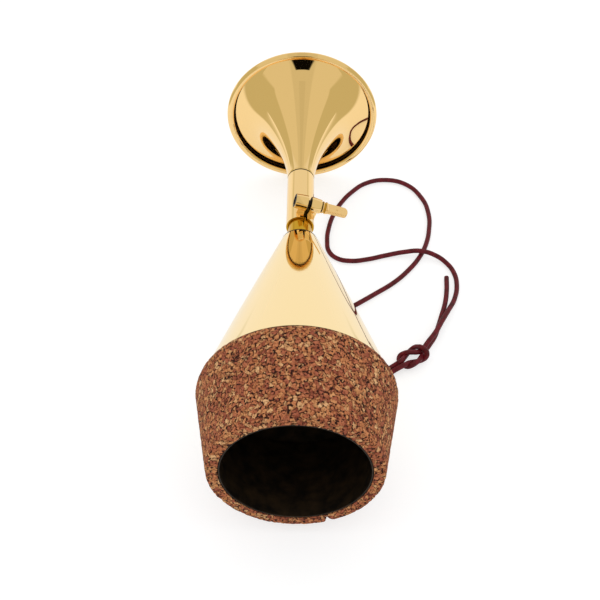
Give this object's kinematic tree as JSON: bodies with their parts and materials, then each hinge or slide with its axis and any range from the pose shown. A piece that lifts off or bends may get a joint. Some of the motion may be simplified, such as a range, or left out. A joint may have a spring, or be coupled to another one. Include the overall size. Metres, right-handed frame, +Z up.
{
  "type": "french horn stop mute",
  "caption": "Conical brass stop mute for a French horn, with a cork sleeve, a small bell on a clamped tuning slide, and a leather wrist cord.",
  "frame": {"origin": "on the table, under the middle of the mute's length, as it lies on its cork and on the rim of its bell", "axes": "+Y along the mute from the cork's mouth to the bell, its axis 0.57 degrees lower at the bell, +Z up from the table, +X to the right seen from the mouth"},
  "size_m": [0.0997, 0.1921, 0.0682],
  "materials": {
    "polished_brass": "polished and clear lacquered",
    "inner_brass": "unpolished, as spun and soldered",
    "screw_brass": "turned and milled, lightly polished",
    "cork": "agglomerated cork, sanded, uncoated",
    "cord_leather": "round leather cord, dyed dark red"
  },
  "bodies": {
    "mute_body": {"cork_sleeve": "cork", "cork_seat": "inner_brass", "body_cone": "polished_brass", "neck_ring": "polished_brass", "inner_tube": "polished_brass", "cord_eye": "polished_brass", "cord_long": "cord_leather", "cord_short": "cord_leather", "cord_tail": "cord_leather", "cord_stub": "cord_leather", "cord_knot": "cord_leather"},
    "bell_slide": {"bell_flare": "polished_brass", "rim_wire": "inner_brass", "outer_tube": "polished_brass", "head_lug": "polished_brass", "nut_lug": "polished_brass"},
    "clamp_screw": {"thumb_screw": "screw_brass"}
  },
  "joints": [
    {"name": "tuning_slide", "type": "slide", "parent": "mute_body", "child": "bell_slide", "axis": [0, 0.9999, -0.01], "range_m": [-0.0084, 0.012]},
    {"name": "screw_turn", "type": "hinge", "parent": "bell_slide", "child": "clamp_screw", "pos_m": [0.00331, 0.0267, 0.04107], "axis": [0.9511, -0.0031, -0.309], "range_deg": [0, 450]}
  ]
}
